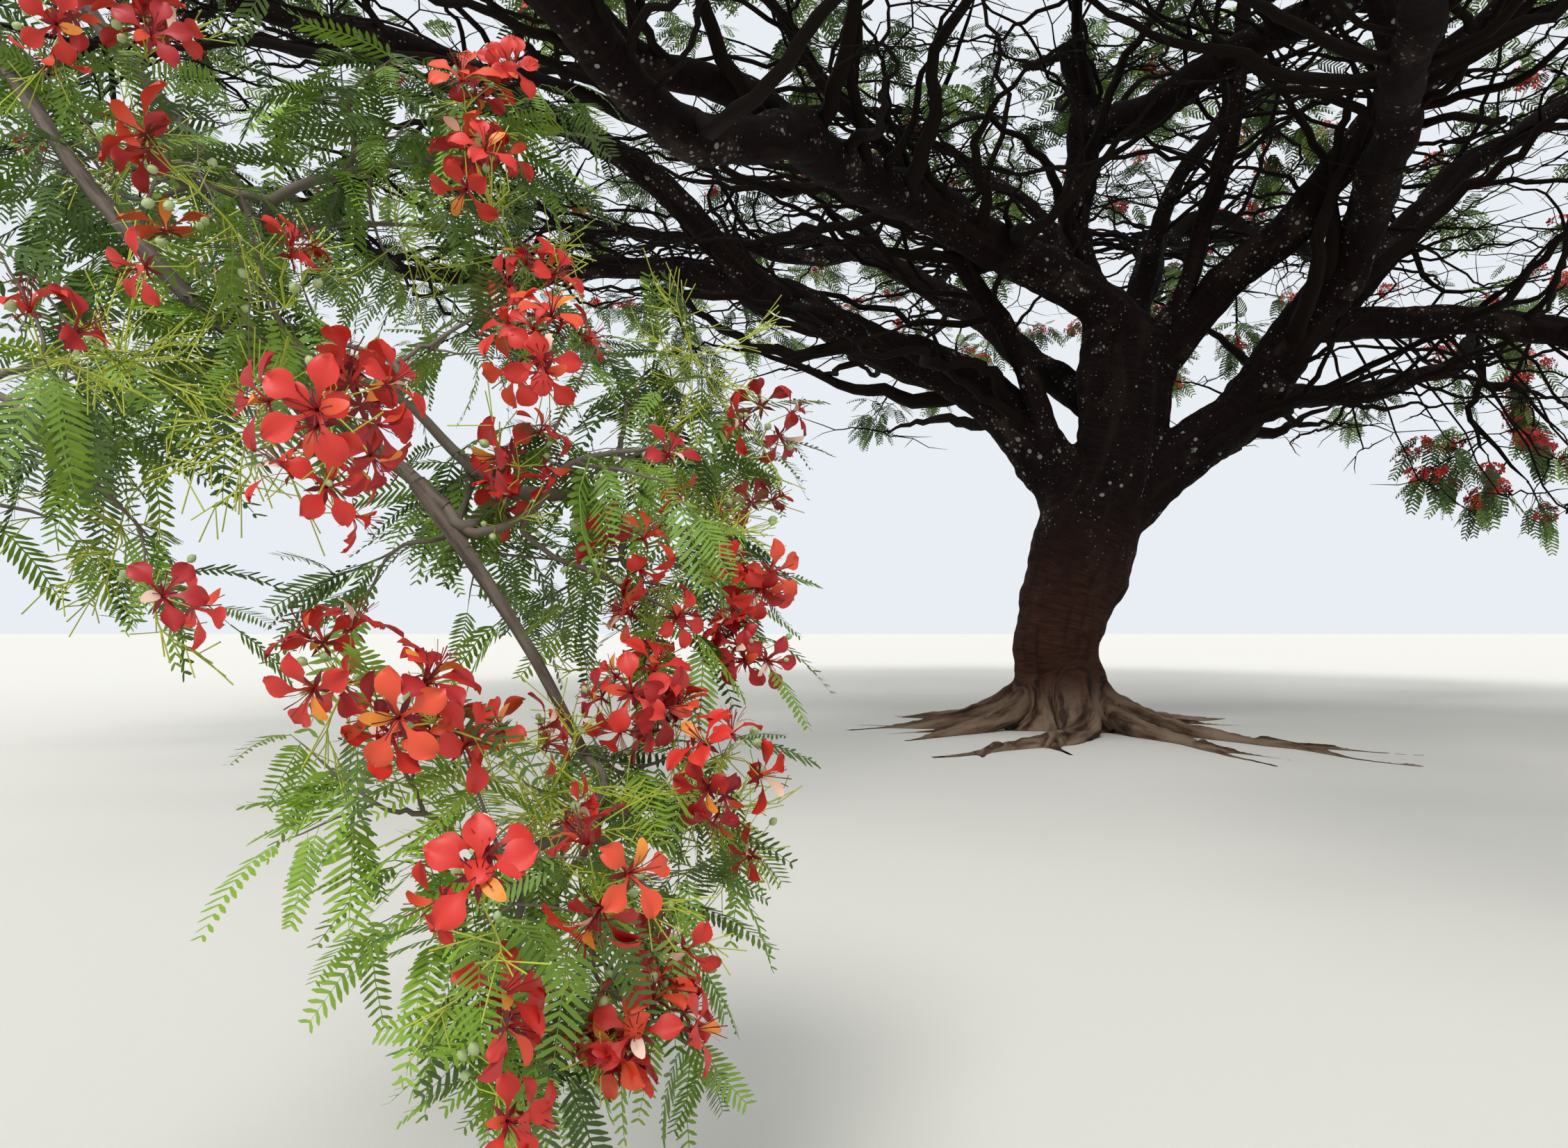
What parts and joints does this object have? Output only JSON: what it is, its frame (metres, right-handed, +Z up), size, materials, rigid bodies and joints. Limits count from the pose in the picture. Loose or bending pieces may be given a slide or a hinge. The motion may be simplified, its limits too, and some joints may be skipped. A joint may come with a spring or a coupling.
{
  "type": "flame tree",
  "caption": "Spreading flame tree in bloom: leaning buttressed trunk on surface roots, wide umbrella crown of feathery leaves with red flowers, a bough hanging low.",
  "frame": {"origin": "middle of the flat cut under the trunk, at ground level", "axes": "+Z up, +X to the right of the pictured side, +Y away from the viewer"},
  "size_m": [23.9547, 23.781, 10.7827],
  "materials": {
    "bark": "rough grey-brown bark, wrinkled and redder low down, darker with pale lichen spots above",
    "twig": "matte dark brown bark of thin twigs",
    "foliage": "matte feathery green leaflets, lit through",
    "young_foliage": "matte light yellow-green leaflets",
    "green_stalk": "smooth yellow-green leaf and flower stalks",
    "petal": "soft scarlet petals",
    "pale_petal": "soft cream petal flecked with red",
    "bud": "smooth pale green flower buds",
    "calyx": "matte dark red calyx and stamens"
  },
  "bodies": {
    "root": {"trunk": "bark", "bough_left": "bark", "bough_left_outer": "bark", "bough_left_upper": "bark", "bough_inner_left": "bark", "bough_front_left": "bark", "bough_front_left_outer": "bark", "bough_front_left_upper": "bark", "bough_upright": "bark", "bough_front": "bark", "bough_centre": "bark", "bough_inner_right": "bark", "bough_right_upper": "bark", "bough_right": "bark", "bough_near": "bark", "bough_near_inner": "bark", "bough_right_outer": "bark", "bough_right_level": "bark", "bough_right_low": "bark", "bough_back_right": "bark", "bough_back_right_side": "bark", "bough_back": "bark", "bough_back_inner": "bark", "bough_back_left": "bark", "bough_back_left_side": "bark", "hanging_bough": "bark", "hanging_branch_upper": "bark", "hanging_branch_left": "bark", "hanging_branch_middle": "bark", "hanging_branch_low": "bark", "crown_left": "foliage", "crown_left_front": "foliage", "crown_inner_left": "foliage", "crown_front_left": "foliage", "crown_near_left": "foliage", "crown_front_right": "foliage", "crown_centre": "foliage", "crown_inner_front": "foliage", "crown_right_front": "foliage", "crown_front": "foliage", "crown_front_inner": "foliage", "crown_right": "foliage", "crown_right_low": "foliage", "crown_right_hanging": "foliage", "crown_back_right": "foliage", "crown_side_right": "foliage", "crown_back": "foliage", "crown_inner_back": "foliage", "crown_back_left": "foliage", "crown_side_left": "foliage", "spray_upper": "foliage", "spray_left": "foliage", "spray_middle": "foliage", "spray_low": "foliage"}
  },
  "joints": []
}
